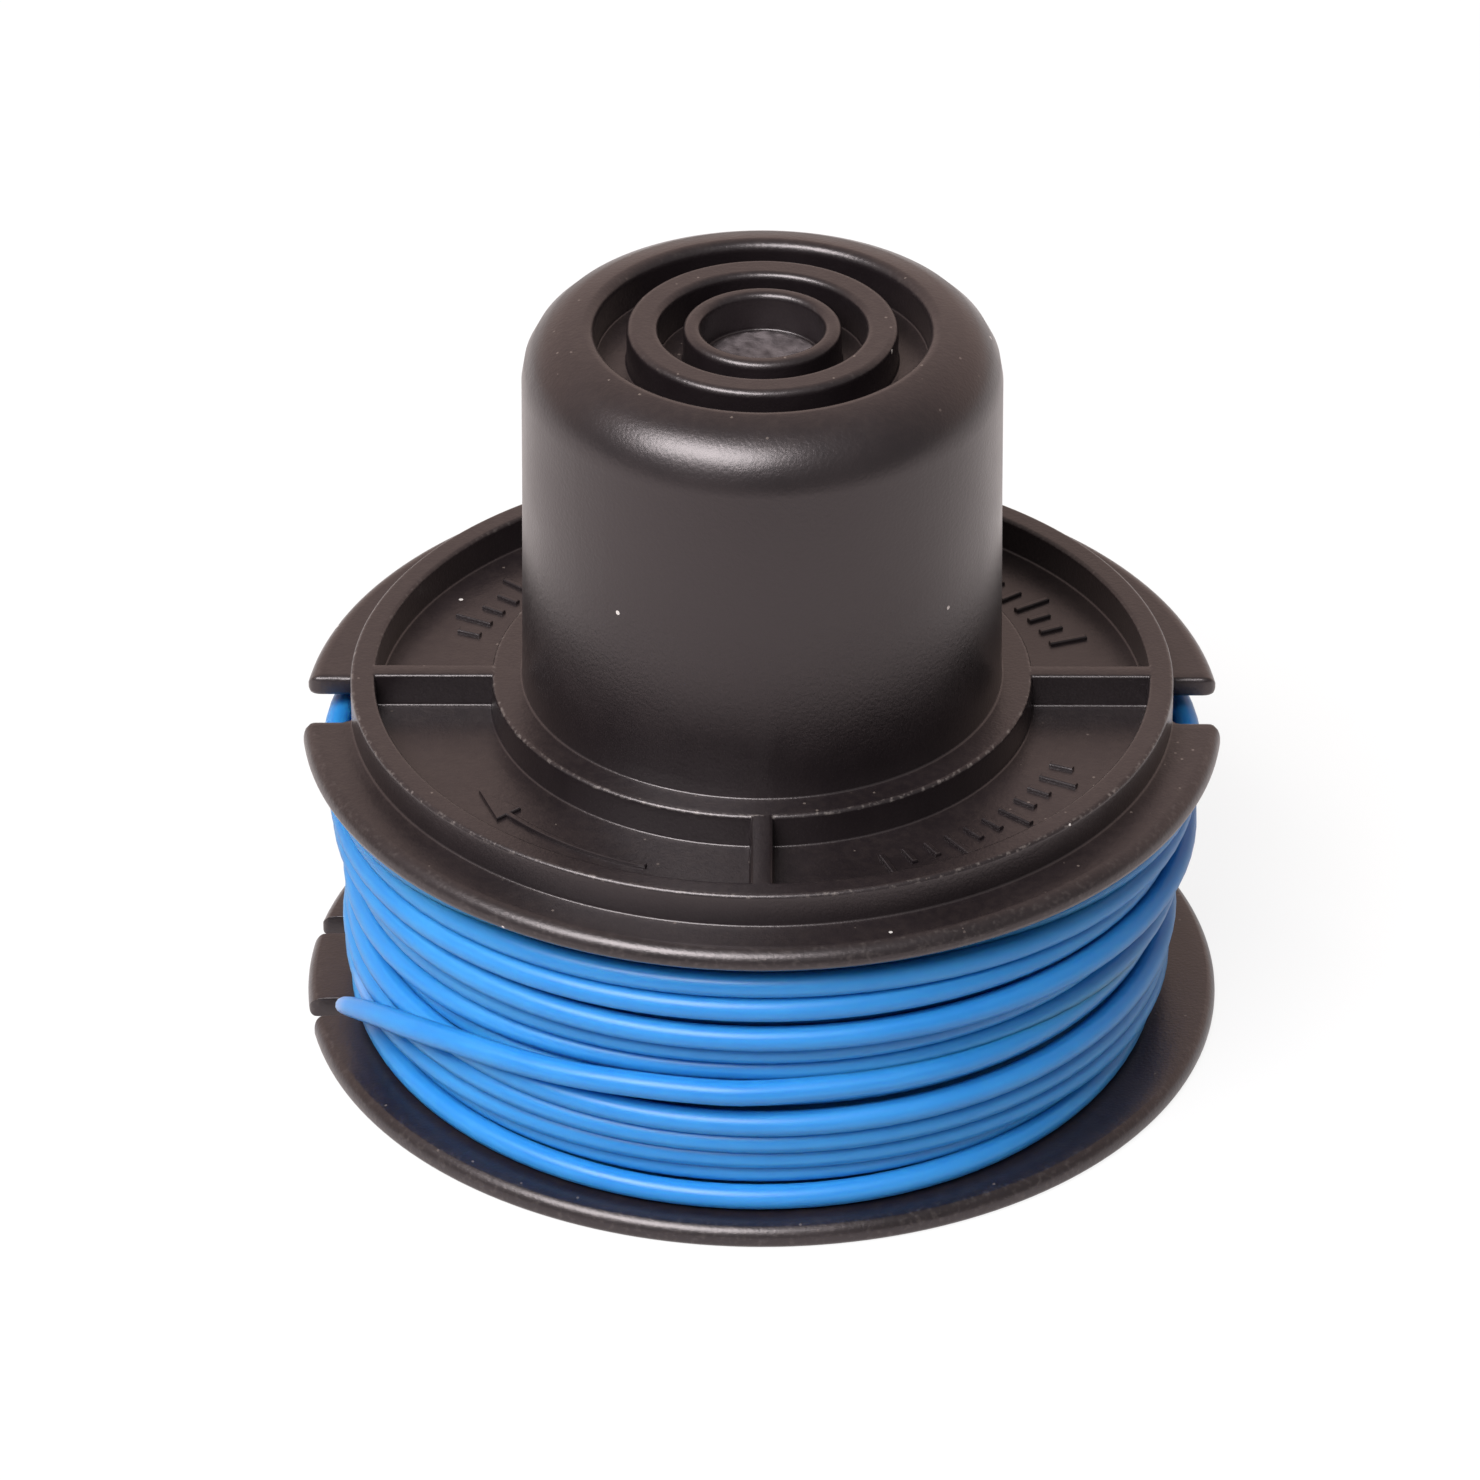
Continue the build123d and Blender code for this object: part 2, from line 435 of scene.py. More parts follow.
def windingPoints():
    turns = turnList()
    perTurn = winding["pointsPerTurn"]
    spread = winding["shiftShare"]
    lastTurn = [winding["freeEnd"][0][1:]] * 4
    route = []
    for i in range(len(turns) * perTurn):
        turn, share = divmod(i / perTurn, 1)
        turn = int(turn)
        angle = 90 - 360 * i / perTurn
        after = turns[turn + 1] if turn + 1 < len(turns) else lastTurn
        if share < spread:
            first, second, along = turns[max(turn - 1, 0)], turns[turn], (share + spread) / (2 * spread)
        else:
            first, second, along = turns[turn], after, max(0.0, (share - 1 + spread) / (2 * spread))
        along = along * along * (3 - 2 * along)
        pair = zip(placeOnTurn(first, angle), placeOnTurn(second, angle))
        route.append((angle, *(a + (b - a) * along for a, b in pair)))
    for angle, height, radius in winding["freeEnd"][1:]:
        route.append((angle - 360 * len(turns), height, radius))
    return route


def addLine(material):
    # a quadratic spline runs inside its points, so they stand out by that share
    standOut = 1 / (0.75 + 0.25 * math.cos(2 * math.pi / winding["pointsPerTurn"]))
    points = []
    for angle, height, radius in windingPoints():
        x, y = onCircle(radius * standOut, angle)
        points.append((x * mm, y * mm, height * mm))
    curve = bpy.data.curves.new("trimmer_line_wound", "CURVE")
    curve.dimensions = "3D"
    curve.bevel_depth = winding["diameter"] / 2 * mm
    curve.bevel_resolution = winding["roundSteps"]
    curve.resolution_u = winding["lengthSteps"]
    curve.use_fill_caps = True
    spline = curve.splines.new("NURBS")
    spline.points.add(len(points) - 1)
    for point, place in zip(spline.points, points):
        point.co = (*place, 1)
    for point, share in zip(spline.points[-len(winding["tipShares"]):], winding["tipShares"]):
        point.radius = share
    spline.use_endpoint_u = True
    spline.order_u = 3
    line = bpy.data.objects.new("trimmer_line_wound", curve)
    bpy.context.scene.collection.objects.link(line)
    curve.materials.append(material)
    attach(line, "root")
    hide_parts("trimmer_line")


# moulded body

body = {
    "lowerRadius": bodyHigh.y,
    "lowerThickness": 1.5,
    "upperRadius": 30.0,
    "upperBottom": 21.0,
    "upperThickness": 1.4,
    "hubRadius": winding["hubRadius"],
    "ringHeight": 2.3,
    "ringInner": 25.2,
    "ringOuter": 26.8,
    "collarRadius": 17.6,
    "knobFoot": mountSizes["knob"]["r_mm"] + 0.12,
    "knobShoulder": mountSizes["knob"]["r_mm"] - 0.17,
    "knobDraft": (0.1, 12.0),  # how much wider the knob is, this far under its top
    "shoulderRound": 4.6,
    "top": bodyHigh.z,
    "dishRadius": 10.7,
    "dishDepth": 2.6,
    "beadRadii": (8.65, 6.65, 5.05, 3.95),
    "coreRadius": mountSizes["drive_bore"]["r_mm"],
    "coreDepth": mountSizes["drive_bore"]["length_mm"],
    "seatRadius": 19.4,
    "lugInner": 17.4,
    "cavityRadius": 13.5,
    "cavityTop": 46.1,
    "rimRound": 0.95,
    "rimUnderRound": 0.4,
    "edgeRound": 0.28,
    "beadRound": 0.42,
    "dishRimRound": 0.6,
    "dishRimFlat": 0.75,  # from the dish to where the shoulder begins
    "hubFoot": 0.5,
    "coreEdge": 0.4,
    "coreFoot": 0.3,
    "cavityEdge": 0.5,
    "cavityRound": 1.2,
    "footRound": 0.16,
    "dishFoot": 0.14,
    # how much an edge is rubbed and given a painted highlight, and how far beside it this ends
    "edgeWearAndGlint": 1.0,
    "innerEdgeWearAndGlint": 0.5,
    "coreWearAndGlint": 0.4,
    "rimWearAndGlint": 0.3,
    "rimWearAndGlintStart": 0.2,  # share of the way over the rim's rounding
    "beadOutWearAndGlint": 0.25,
    "dishRimWearAndGlint": 0.2,
    "beadInWearAndGlint": 0.15,
    "edgeGuard": 0.25,
    "beadGuard": 0.08,
    "ribWidth": 1.4,
    "ribEdge": 0.22,
    "lugWidth": 3.4,
    "lugEdge": 0.3,
    "slotWidth": 5.3,
    "slotCorner": 0.9,
    "cutEdge": 0.3,
    "notchEdge": 0.08,
    "notchWidth": 2.0,
    "notchSpacing": 9.8,
    "notchDepth": 3.6,
    "notchCorner": 0.5,
    "holeRings": 10,
    "holeFlat": 0.4,  # from the rough floor to the hole's wall
    "holeRelief": 0.22,  # rise and fall of the rough floor
    "holeNoise": 1.5,  # of its lumps to a millimetre
    "columns": 192,
    "columnGap": 0.45,  # degrees that plain columns keep from a feature's
    "columnReach": 18.0,  # degrees over which columns bend to a feature's walls
    "arcStep": 22.0,  # degrees of a rounded corner for each face
    "tipRows": (-0.35, 0.0, 0.12, 0.4),  # rings of points at the notches' inner ends
    "notchLead": 0.9,  # from there to the next rings
    "slotLead": 0.6,
    "straightRows": 4,
    "cornerRows": 8,
    "cornerLead": 0.1,
}


def roundedOutline(corners):
    # corners are (radius, height, rounding, wear and painted highlight, tag), from the dish down the outside
    # and up the inside
    points = []
    last = len(corners) - 1
    for i, (r, z, rounding, wearAndGlint, tag) in enumerate(corners):
        if rounding == 0 or i in (0, last):
            points.append((r, z, wearAndGlint, tag))
            continue
        here = Vector((r, z))
        toBefore = (Vector(corners[i - 1][:2]) - here).normalized()
        toAfter = (Vector(corners[i + 1][:2]) - here).normalized()
        opening = toBefore.angle(toAfter)
        reach = rounding / math.tan(opening / 2)
        centre = here + (toBefore + toAfter).normalized() * rounding / math.sin(opening / 2)
        begin = here + toBefore * reach - centre
        finish = here + toAfter * reach - centre
        sweep = math.pi - opening
        steps = max(3, math.ceil(math.degrees(sweep) / body["arcStep"]))
        guard = body["edgeGuard"] if rounding < body["beadRound"] else body["beadGuard"]
        if wearAndGlint:
            points.append((*(here + toBefore * (reach + guard)), 0.0, tag))
        for s in range(steps + 1):
            a = math.sin(sweep * (1 - s / steps)) / math.sin(sweep)
            b = math.sin(sweep * s / steps) / math.sin(sweep)
            points.append((*(centre + begin * a + finish * b), wearAndGlint * math.sin(math.pi * s / steps), tag))
        if wearAndGlint:
            points.append((*(here + toAfter * (reach + guard)), 0.0, tag))
    return points


def bendDrop(share, rounding):
    # how far a rounded edge has fallen, at a share of the way over it
    return rounding * (1 - math.sqrt(max(0.0, 1 - min(share, 1) ** 2)))


def flangeFace(radii, height, rim, rounding, tag):
    # one face of a flange, out to its rounded rim
    way = 1 if tag.endswith("Under") else -1
    rows = []
    for r in radii:
        share = max(0.0, r - (rim - rounding)) / rounding
        wearAndGlint = body["rimWearAndGlint"] if share > body["rimWearAndGlintStart"] else 0.0
        rows.append((r, height + way * bendDrop(share, rounding), 0, wearAndGlint, tag))
    return rows


def rimRadii(inner, rim, corner):
    # rings of points from the inner end of a cut out to the rim
    straight = np.linspace(inner, rim - corner - body["cornerLead"], body["straightRows"])
    bend = np.linspace(0, math.pi / 2, body["cornerRows"])
    return [*straight, *[rim - corner * (1 - math.sin(t)) for t in bend]]


def bodyOutline():
    b = body
    flangeTop = b["upperBottom"] + b["upperThickness"]
    ringTop = flangeTop + b["ringHeight"]
    dish = b["top"] - b["dishDepth"]
    edge, foot = b["edgeRound"], b["footRound"]
    bead, dishFoot = b["beadRound"], b["dishFoot"]
    beadOut, beadIn, ringOut, hole = b["beadRadii"]
    outWearAndGlint, inWearAndGlint = b["beadOutWearAndGlint"], b["beadInWearAndGlint"]
    shoulder = min(b["shoulderRound"], b["knobShoulder"] - b["dishRadius"] - b["dishRimFlat"])
    wider, under = b["knobDraft"]
    bend = 0.3 * foot  # middle point of the bend where the ring meets the flange
    wallDraft = 0.05
    slotRadii = rimRadii(b["ringOuter"] + b["slotLead"], b["upperRadius"], b["slotCorner"])
    upperRadii = [b["ringOuter"] + foot, *slotRadii]
    tip = notchTip()
    notchRadii = rimRadii(tip + b["notchLead"], b["lowerRadius"], b["notchCorner"])
    lowerRadii = [*[tip + row for row in b["tipRows"]], *notchRadii]
    corners = [
        *[(r, dish, 0, 0, "hole") for r in np.linspace(0, hole - b["holeFlat"], b["holeRings"])],
        (hole, dish, dishFoot, 0, "dish"),
        (hole, b["top"], bead, outWearAndGlint, "bead"),
        (ringOut, b["top"], bead, inWearAndGlint, "bead"),
        (ringOut, dish, dishFoot, 0, "dish"),
        (beadIn, dish, dishFoot, 0, "dish"),
        (beadIn, b["top"], bead, inWearAndGlint, "bead"),
        (beadOut, b["top"], bead, outWearAndGlint, "bead"),
        (beadOut, dish, dishFoot, 0, "dish"),
        (b["dishRadius"], dish, dishFoot, 0, "dish"),
        (b["dishRadius"], b["top"], b["dishRimRound"], b["dishRimWearAndGlint"], "bead"),
        (b["knobShoulder"], b["top"], shoulder, 0, "knob"),
        (b["knobShoulder"] + wider, b["top"] - under, 0, 0, "knob"),
        (b["knobFoot"], ringTop, foot, 0, "knob"),
        (b["collarRadius"], ringTop, edge, b["edgeWearAndGlint"], "floor"),
        (b["collarRadius"] + wallDraft, flangeTop, foot, 0, "floor"),
        (b["ringInner"] - wallDraft, flangeTop, foot, 0, "floor"),
        (b["ringInner"], ringTop, edge, b["innerEdgeWearAndGlint"], "floor"),
        (b["ringOuter"], ringTop, edge, b["edgeWearAndGlint"], "ring"),
        (b["ringOuter"], flangeTop + foot, 0, 0, "upperTop"),
        (b["ringOuter"] + bend, flangeTop + bend, 0, 0, "upperTop"),
        *flangeFace(upperRadii, flangeTop, b["upperRadius"], b["rimRound"], "upperTop"),
        *flangeFace(upperRadii[::-1], b["upperBottom"], b["upperRadius"], b["rimUnderRound"], "upperUnder"),
        (b["ringOuter"] + bend, b["upperBottom"], 0, 0, "upperUnder"),
        (b["ringOuter"], b["upperBottom"], 0, 0, "upperUnder"),
        (b["hubRadius"], b["upperBottom"], b["hubFoot"], 0, "hub"),
        (b["hubRadius"], b["lowerThickness"], b["hubFoot"], 0, "hub"),
        *flangeFace(lowerRadii, b["lowerThickness"], b["lowerRadius"], b["rimRound"], "lowerTop"),
        *flangeFace(lowerRadii[::-1], 0.0, b["lowerRadius"], b["rimUnderRound"], "lowerUnder"),
        (b["coreRadius"], 0.0, b["coreEdge"], b["coreWearAndGlint"], "core"),
        (b["coreRadius"], b["coreDepth"], b["coreFoot"], 0, "core"),
        (b["seatRadius"], b["coreDepth"], 0, 0, "seat"),
        (b["seatRadius"], b["upperBottom"], 0, 0, "lug"),
        (b["lugInner"], b["upperBottom"], 0, 0, "lug"),
        (b["lugInner"], b["upperBottom"], 0, 0, "ceiling"),
        (b["cavityRadius"], b["upperBottom"], b["cavityEdge"], 0, "ceiling"),
        (b["cavityRadius"], b["cavityTop"], b["cavityRound"], 0, "cavity"),
        (0, b["cavityTop"], 0, 0, "cavity"),
    ]
    return roundedOutline(corners)


def notchTip():
    centre = body["notchSpacing"] / 2
    return math.hypot(body["lowerRadius"] - body["notchDepth"], centre)


def slotHalfWidth(r):
    # half the slot's width at radius r, with its outer corner rounded
    corner = body["slotCorner"]
    share = max(0.0, r - (body["upperRadius"] - corner)) / corner
    return body["slotWidth"] / 2 + bendDrop(share, corner)


def notchHalfWidth(r):
    half = body["notchWidth"] / 2
    corner = body["notchCorner"]
    centre = body["lowerRadius"] - body["notchDepth"] + half
    x = math.sqrt(r * r - (body["notchSpacing"] / 2) ** 2)
    if x < centre:
        return math.sqrt(max(0.0, half * half - (centre - x) ** 2))
    share = max(0.0, r - (body["lowerRadius"] - corner)) / corner
    return half + bendDrop(share, corner)


# columns of points across a rib, slot, notch or lug: usual angle, place in the feature, and share of its edge
ribColumns = [
    (2.7, "foot", 1.0), (2.4, "foot", 0.35), (2.1, "outer", 0),
    (2.1, "inner", 0), (1.8, "edge", 0.3), (1.3, "edge", 1.0),
]
lugColumns = [(5.6, "outer", 0), (5.6, "inner", 0), (4.8, "edge", 1.0)]
slotColumns = [(6.3, "away", 1.0), (5.7, "away", 0.35), (5.2, "wall", 0)]
notchColumns = [
    (13.4, "far", 1.0), (12.9, "far", 0.35), (12.4, "far", 0),
    (7.6, "near", 0), (7.2, "near", 0.35), (6.8, "near", 1.0),
]
ribCentres = (0, 90, 180, 270)
lugCentres = (45, 135, 225, 315)
slotCentres = (0, 180)
notchCentres = (180,)
featureRows = [
    ("rib", ribCentres, ribColumns),
    ("lug", lugCentres, lugColumns),
    ("slot", slotCentres, slotColumns),
    ("notch", notchCentres, notchColumns),
]


def angleApart(first, second):
    return abs((first - second + 180) % 360 - 180)


def bodyColumns():
    # every column as (angle, feature, centre angle, side, place, share)
    columns = []
    for feature, centres, rows in featureRows:
        for centre in centres:
            for side in (-1, 1):
                for away, place, share in rows:
                    columns.append(((centre + side * away) % 360, feature, centre, side, place, share))
    taken = [column[0] for column in columns]
    for i in range(body["columns"]):
        angle = 360 * i / body["columns"]
        if min(angleApart(angle, other) for other in taken) > body["columnGap"]:
            columns.append((angle, None, 0, 0, "", 0))

    def order(column):
        # the two columns of a rib's or lug's wall share an angle, the outer one first on the way in
        inward = 1 if column[4] == "inner" else 0
        return (column[0], -inward * column[3])

    return sorted(columns, key=order)


def columnOffset(column, r):
    # sideways distance of a feature's column from its centre line at radius r, in millimetres
    angle, feature, centre, side, place, share = column
    if feature == "rib":
        beside = body["footRound"] if place in ("foot", "outer") else -body["ribEdge"]
        return body["ribWidth"] / 2 + beside * share
    if feature == "lug":
        return body["lugWidth"] / 2 - body["lugEdge"] * share
    if feature == "slot":
        return slotHalfWidth(r) + body["cutEdge"] * share
    away = notchHalfWidth(r) + body["notchEdge"] * share
    return body["notchSpacing"] / 2 + (away if place == "far" else -away)


activeTags = {
    "rib": ("floor",),
    "lug": ("lug", "ceiling"),
    "slot": ("upperTop", "upperUnder"),
    "notch": ("lowerTop", "lowerUnder"),
}


def columnAngles(columns, r, tag):
    # columns of a feature that acts here follow its walls, and the others spread between them
    usual = np.array([column[0] for column in columns])
    pins = []
    for column in columns:
        angle, feature, centre, side, place, share = column
        if not feature or tag not in activeTags[feature]:
            continue
        if feature == "notch" and r < notchTip() - 0.01:
            continue
        reach = min(max(r, body["collarRadius"]), body["ringInner"]) if feature == "rib" else r
        wall = math.degrees(math.asin(columnOffset(column, reach) / reach))
        pins.append((angle, side * (wall - angleApart(angle, centre))))
    if not pins:
        return usual
    for centre in (*ribCentres, *lugCentres):
        pins += [(centre + side * body["columnReach"], 0) for side in (-1, 1)]
    return usual + np.interp(usual, [p[0] for p in pins], [p[1] for p in pins], period=360)


def ribLift(column, floorHeight, topHeight):
    # height of a rib at this column, or of the floor beside it
    angle, feature, centre, side, place, share = column
    if feature == "rib" and place in ("foot", "outer"):
        return floorHeight + bendDrop(1 - share, body["footRound"])
    if feature == "rib":
        return topHeight - bendDrop(1 - share, body["ribEdge"])
    nearest = min(angleApart(angle, c) for c in ribCentres)
    return topHeight if nearest < ribColumns[-1][0] else floorHeight


def insideLug(column):
    angle, feature, centre, side, place, share = column
    if feature == "lug":
        return place != "outer"
    nearest = min(angleApart(angle, c) for c in lugCentres)
    return nearest < lugColumns[-1][0]


def cutDistance(tag, x, y, r):
    # distance from the wall of a slot or notch, in plan
    if tag in ("upperTop", "upperUnder"):
        return abs(y) - slotHalfWidth(r)
    if x > 0 or r < notchTip() - body["notchWidth"]:
        return math.inf
    half = body["notchWidth"] / 2
    centre = Vector((body["lowerRadius"] - body["notchDepth"] + half, body["notchSpacing"] / 2))
    place = Vector((-x, abs(y)))
    if place.x < centre.x:
        return (place - centre).length - half
    return abs(place.y - centre.y) - notchHalfWidth(r)


def cutHeight(tag, x, y, r):
    # height of a flange's face beside a slot or notch, whose edges are rounded
    rounding = body["cutEdge"] if tag in activeTags["slot"] else body["notchEdge"]
    share = 1 - min(max(cutDistance(tag, x, y, r), 0.0) / rounding, 1.0)
    flat = {
        "upperTop": body["upperBottom"] + body["upperThickness"],
        "upperUnder": body["upperBottom"],
        "lowerTop": body["lowerThickness"],
        "lowerUnder": 0.0,
    }[tag]
    way = 1 if tag.endswith("Under") else -1
    return flat + way * bendDrop(share, rounding)


def bodyVertices(outline, columns):
    flangeTop = body["upperBottom"] + body["upperThickness"]
    ringTop = flangeTop + body["ringHeight"]
    reach = body["edgeRound"]
    slotStart = body["ringOuter"] + body["slotLead"] / 2
    places = []
    for r, z, wearAndGlint, tag in outline:
        angles = np.radians(columnAngles(columns, r, tag))
        for column, angle in zip(columns, angles):
            x, y, height = r * math.cos(angle), r * math.sin(angle), z
            if tag == "floor" and body["collarRadius"] - reach < r < body["ringInner"] + reach:
                height = max(height, ribLift(column, flangeTop, ringTop))
            if tag == "hole":
                height += body["holeRelief"] * noise.noise(Vector((x, y, 0)) * body["holeNoise"])
            if tag == "lug" and insideLug(column):
                height = body["coreDepth"]
            if tag == "lowerTop" or (tag == "upperTop" and r > slotStart):
                height = min(height, cutHeight(tag, x, y, r))
            if tag in ("lowerUnder", "upperUnder"):
                height = max(height, cutHeight(tag, x, y, r))
            places.append((x * mm, y * mm, height * mm))
    return places


def bodyFaces(outline, columns):
    count = len(columns)
    tags = [point[3] for point in outline]
    radii = [point[0] for point in outline]

    def vertex(row, column):
        return row * count + column % count

    def rowsOf(tag, inner):
        return [i for i, t in enumerate(tags) if t == tag and radii[i] > inner - 1e-6]

    def wallsOf(feature, key, value):
        # columns that stand on a feature's walls
        return [i for i, c in enumerate(columns) if c[1] == feature and c[key] == value and c[5] == 0]

    cuts = []
    upper = (rowsOf("upperTop", 0), rowsOf("upperUnder", 0)[::-1])
    lower = (rowsOf("lowerTop", notchTip()), rowsOf("lowerUnder", notchTip())[::-1])
    for centre in slotCentres:
        walls = wallsOf("slot", 2, centre)
        cuts.append((upper, (walls[1], walls[0]) if centre == 0 else (walls[0], walls[1]), True))
    for side in (-1, 1):
        walls = wallsOf("notch", 3, side)
        cuts.append((lower, (min(walls), max(walls)), False))
    removed = set()
    faces = []
    for (top, under), (first, second), hasEnd in cuts:
        span = (second - first) % count
        for row in range(top[0], under[0]):
            removed.update((row, (first + k) % count) for k in range(span))
        for column in (first, second):
            for i in range(len(top) - 1):
                faces.append((vertex(top[i], column), vertex(top[i + 1], column),
                              vertex(under[i + 1], column), vertex(under[i], column)))
        if hasEnd:
            for k in range(span):
                faces.append((vertex(top[0], first + k), vertex(top[0], first + k + 1),
                              vertex(under[0], first + k + 1), vertex(under[0], first + k)))
    for row in range(len(outline) - 1):
        for column in range(count):
            if (row, column) not in removed:
                faces.append((vertex(row, column), vertex(row, column + 1),
                              vertex(row + 1, column + 1), vertex(row + 1, column)))
    return faces


def addBody(material):
    outline = bodyOutline()
    columns = bodyColumns()
    mesh = bpy.data.meshes.new("spool_moulding")
    mesh.from_pydata(bodyVertices(outline, columns), [], bodyFaces(outline, columns))
    # the edges' rubbing and painted highlight, kept as an attribute for the plastic's pale dots
    wearAndGlint = [point[2] for point in outline]
    hole = [float(point[3] == "hole") for point in outline]
    for name, values in (("edgeWearAndGlint", wearAndGlint), ("roughFloor", hole)):
        mask = mesh.attributes.new(name, "FLOAT", "POINT")
        mask.data.foreach_set("value", np.repeat(values, len(columns)).astype(np.float32))
    shape = bmesh.new()
    shape.from_mesh(mesh)
    bmesh.ops.remove_doubles(shape, verts=shape.verts, dist=2e-6)
    bmesh.ops.dissolve_degenerate(shape, edges=shape.edges, dist=1e-6)
    loose = [v for v in shape.verts if not v.link_faces]
    bmesh.ops.delete(shape, geom=loose, context="VERTS")
    bmesh.ops.recalc_face_normals(shape, faces=shape.faces)
    # the larger faces at a corner set its shading, so flat faces stay flat beside their rounded edges
    normals = []
    for vertex in shape.verts:
        whole = sum((face.normal * face.calc_area() for face in vertex.link_faces), Vector())
        normals.append(whole.normalized())
    shape.to_mesh(mesh)
    shape.free()
    mesh.shade_smooth()
    mesh.normals_split_custom_set_from_vertices(normals)
    mesh.materials.append(material)
    piece = bpy.data.objects.new("spool_moulding", mesh)
    bpy.context.scene.collection.objects.link(piece)
    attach(piece, "root")
    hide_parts("spool_body")
    print("body turned,", len(mesh.polygons), "faces")


# plain raised marks on the upper flange's floor

marks = {
    "height": 0.24,
    "sink": 0.1,  # into the floor
    "width": 0.40,
    "edge": 0.09,
    "tickSpans": [(20, 65), (112, 158), (292, 340)],  # angles between which the rows of ticks run
    "tickStep": 4.5,
    "tickInner": 20.2,
    "tickOuter": 21.8,
    "longTickOuter": 22.8,
    "longTickEvery": 3,
    "arrowRadius": 21.4,
    "arrowSpan": (250, 212),
    "arrowSteps": 16,
    "headLength": 9.0,  # degrees
    "headWidth": 2.0,
}


def tickOutline(inner, outer, angle):
    side = Vector(onCircle(marks["width"] / 2, angle + 90))
    near, far = Vector(onCircle(inner, angle)), Vector(onCircle(outer, angle))
    return [near - side, far - side, far + side, near + side]


def arrowOutline():
    start, end = marks["arrowSpan"]
    neck = end + math.copysign(marks["headLength"], start - end)
    half, wide, r = marks["width"] / 2, marks["headWidth"] / 2, marks["arrowRadius"]
    bend = np.linspace(start, neck, marks["arrowSteps"])
    outer = [onCircle(r + half, a) for a in bend]
    inner = [onCircle(r - half, a) for a in bend[::-1]]
    return [*outer, onCircle(r + wide, neck), onCircle(r, end), onCircle(r - wide, neck), *inner]


def addMarks(material):
    floor = body["upperBottom"] + body["upperThickness"]
    outlines = [arrowOutline()]
    for first, last in marks["tickSpans"]:
        for i, angle in enumerate(np.arange(first, last, marks["tickStep"])):
            outer = marks["tickOuter"] if i % marks["longTickEvery"] else marks["longTickOuter"]
            outlines.append(tickOutline(marks["tickInner"], outer, angle))
    shape = bmesh.new()
    topEdges = []
    for outline in outlines:
        low = [shape.verts.new((x * mm, y * mm, (floor - marks["sink"]) * mm)) for x, y in outline]
        high = [shape.verts.new((x * mm, y * mm, (floor + marks["height"]) * mm)) for x, y in outline]
        shape.faces.new(low)
        topEdges += shape.faces.new(high).edges
        for i in range(len(outline)):
            j = (i + 1) % len(outline)
            shape.faces.new((low[i], low[j], high[j], high[i]))
    bmesh.ops.recalc_face_normals(shape, faces=shape.faces)
    bmesh.ops.bevel(shape, geom=topEdges, offset=marks["edge"] * mm, segments=2, profile=0.5, affect="EDGES")
    mesh = bpy.data.meshes.new("floor_marks")
    shape.to_mesh(mesh)
    shape.free()
    mesh.materials.append(material)
    piece = bpy.data.objects.new("floor_marks", mesh)
    bpy.context.scene.collection.objects.link(piece)
    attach(piece, "root")
    print("marks raised,", len(outlines))


# floor and light

stage = {
    "floorSize": 6.0,
    "floorFront": 0.145,  # from the spool's axis to the floor's front edge
    "floorColor": (0.60, 0.49, 0.47, 1),
    "ownWhite": 0.86,  # share of the floor's white that is its own, the rest takes shadow
    "glossyWhite": 0.55,  # share of that white in what the spool reflects
    "roomColor": (1.0, 0.96, 0.94, 1),
    "roomStrength": 0.27,
    "backdropColor": (1.0, 0.62, 0.50, 1),
    "backdropStrength": 0.39,  # pale wall behind the spool
    "backdropReach": (-0.1, 0.5),  # from no wall to full wall, along +Y
    "backdropTop": (0.55, 0.95, 1.0, 0.3),  # where the wall fades overhead, and from what share to what
}
keyLamp = {
    "place": (-0.274, -0.406, 0.625),
    "aim": (0.0, 0.0, 0.02),
    "width": 0.64,
    "depth": 0.38,
    "power": 10.0,
    "color": (1.0, 0.98, 0.985),
}


def showWhite(tree):
    # 1 for the rays that look straight at the background, less for reflections
    path = addNode(tree, "ShaderNodeLightPath").outputs
    glossy = addMath(tree, "MULTIPLY", path["Is Glossy Ray"], stage["glossyWhite"])
    seen = addMath(tree, "MAXIMUM", path["Is Camera Ray"], glossy)
    return addMath(tree, "MAXIMUM", seen, path["Is Transmission Ray"])


def addFloor():
    middle = stage["floorSize"] / 2 - stage["floorFront"]
    bpy.ops.mesh.primitive_plane_add(size=stage["floorSize"], location=(0, middle, 0))
    floor = bpy.context.object
    floor.name = "floor"
    material, tree, output = newMaterial("paleFloor")
    matte = addNode(tree, "ShaderNodeBsdfDiffuse", {"Color": stage["floorColor"]})
    rest = 1 - stage["ownWhite"]
    shadowed = addNode(tree, "ShaderNodeBsdfDiffuse", {"Color": (rest, rest, rest, 1)})
    white = addNode(tree, "ShaderNodeEmission", {"Color": (1, 1, 1, 1), "Strength": stage["ownWhite"]})
    both = addNode(tree, "ShaderNodeAddShader", {0: shadowed.outputs[0], 1: white.outputs[0]})
    mix = addNode(tree, "ShaderNodeMixShader", {0: showWhite(tree), 1: matte.outputs[0], 2: both.outputs[0]})
    tree.links.new(mix.outputs[0], output.inputs["Surface"])
    floor.data.materials.append(material)


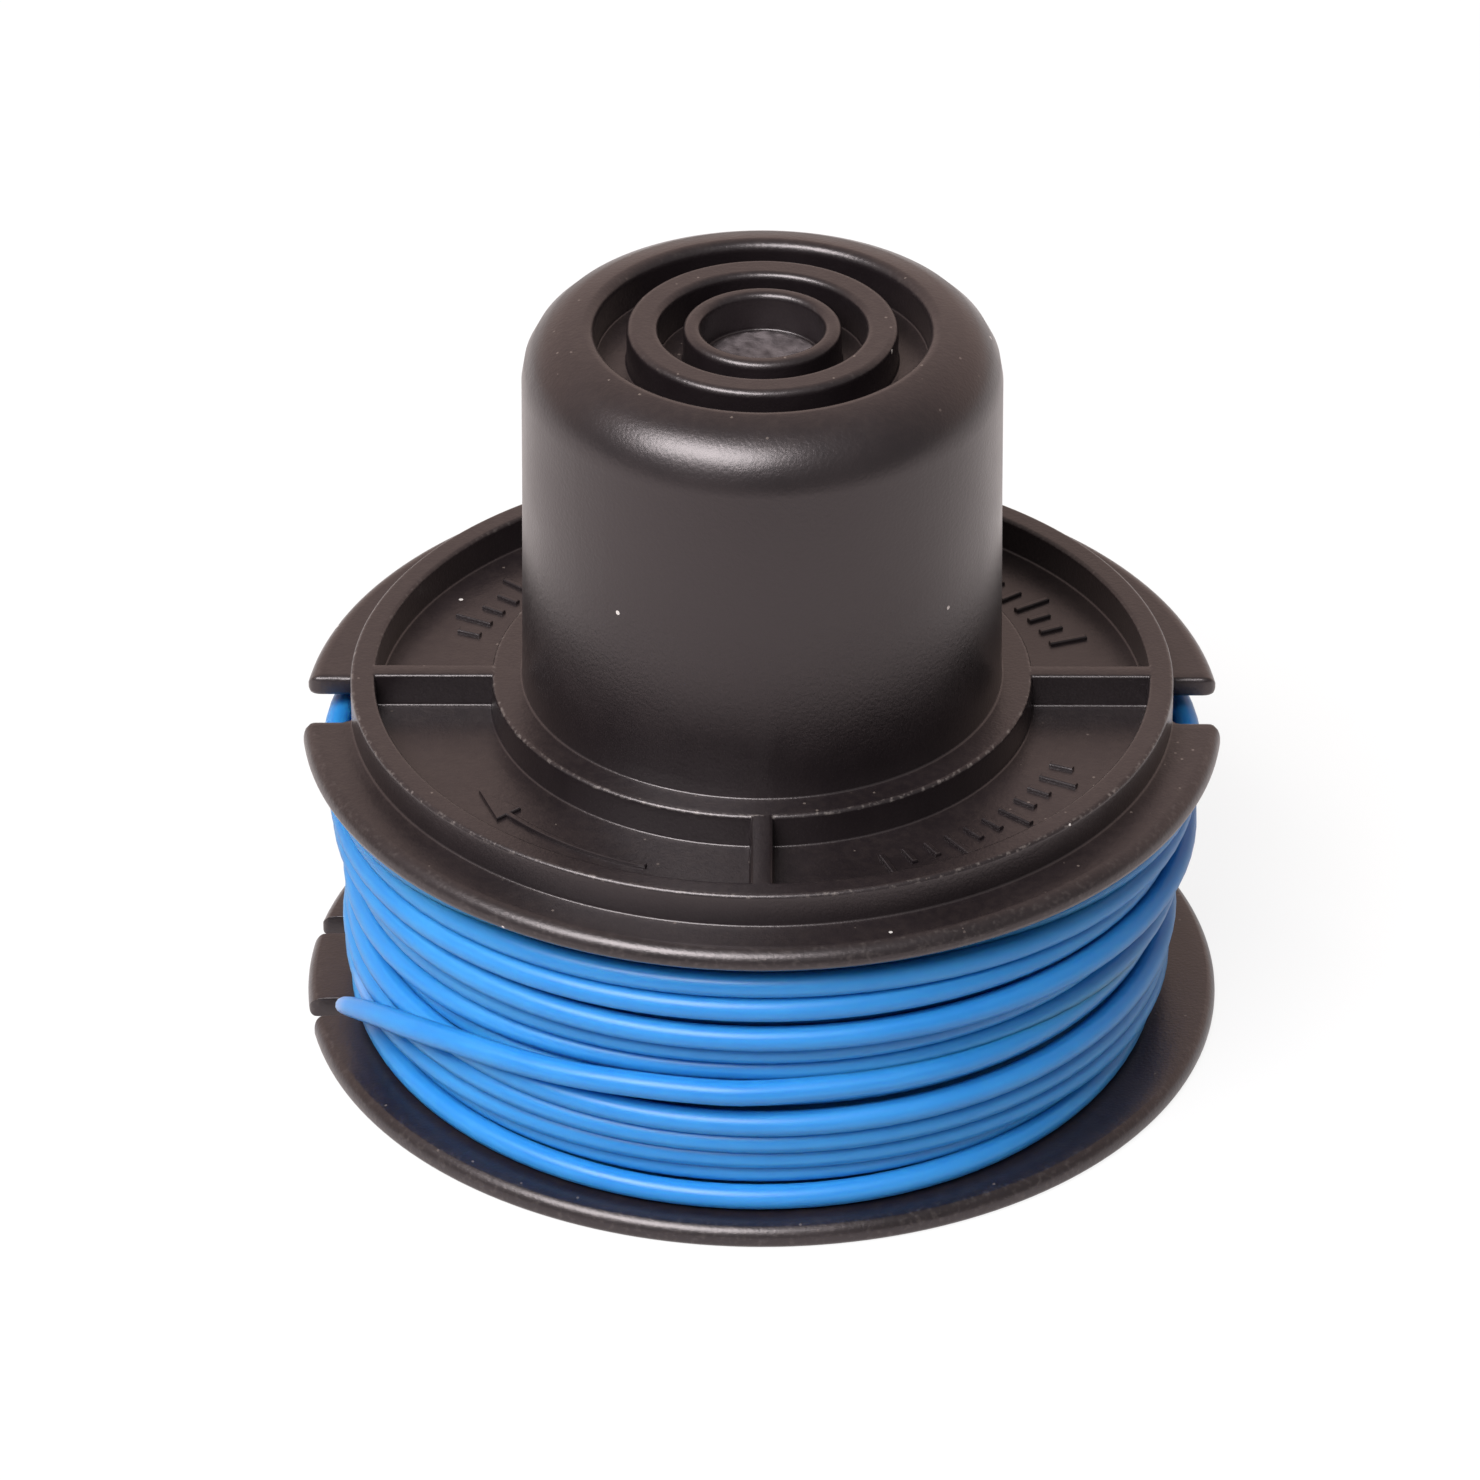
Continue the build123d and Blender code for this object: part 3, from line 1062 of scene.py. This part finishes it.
def addRoom():
    # white where the camera looks straight at it, and a soft room with a pale wall for the light
    world = bpy.data.worlds.new("studio")
    world.use_nodes = True
    tree = world.node_tree
    tree.nodes.clear()
    ways = addNode(tree, "ShaderNodeTexCoord").outputs["Generated"]
    ways = addNode(tree, "ShaderNodeSeparateXYZ", {"Vector": ways}).outputs
    behind = mapRange(tree, ways["Y"], *stage["backdropReach"])
    below = mapRange(tree, ways["Z"], *stage["backdropTop"])
    wall = addMath(tree, "MULTIPLY", addMath(tree, "MULTIPLY", behind, below), stage["backdropStrength"])

    def background(color, strength):
        return addNode(tree, "ShaderNodeBackground", {"Color": color, "Strength": strength}).outputs[0]

    room = background(stage["roomColor"], stage["roomStrength"])
    backdrop = background(stage["backdropColor"], wall)
    soft = addNode(tree, "ShaderNodeAddShader", {0: room, 1: backdrop}).outputs[0]
    plain = background((1, 1, 1, 1), 1.0)
    camera = addNode(tree, "ShaderNodeLightPath").outputs["Is Camera Ray"]
    mix = addNode(tree, "ShaderNodeMixShader", {0: camera, 1: soft, 2: plain})
    output = addNode(tree, "ShaderNodeOutputWorld")
    tree.links.new(mix.outputs[0], output.inputs["Surface"])
    bpy.context.scene.world = world


def addLamp():
    data = bpy.data.lights.new("keyLamp", "AREA")
    data.shape = "RECTANGLE"
    data.size = keyLamp["width"]
    data.size_y = keyLamp["depth"]
    data.energy = keyLamp["power"]
    data.color = keyLamp["color"]
    light = bpy.data.objects.new("keyLamp", data)
    bpy.context.scene.collection.objects.link(light)
    light.location = keyLamp["place"]
    light.rotation_euler = (Vector(keyLamp["aim"]) - light.location).to_track_quat("-Z", "Y").to_euler()


addCamera()
mottleGroup = buildMottleGroup()
grainGroup = buildGrainGroup()
spoolPlastic = makeSpoolPlastic(mottleGroup, grainGroup, buildSpeckGroup())
lineNylon = makeLineNylon(mottleGroup, grainGroup)
print("materials made")
addLine(lineNylon)
addBody(spoolPlastic)
addMarks(spoolPlastic)
addFloor()
addRoom()
addLamp()
bpy.context.scene.view_settings.view_transform = "Standard"
print("stage lit")
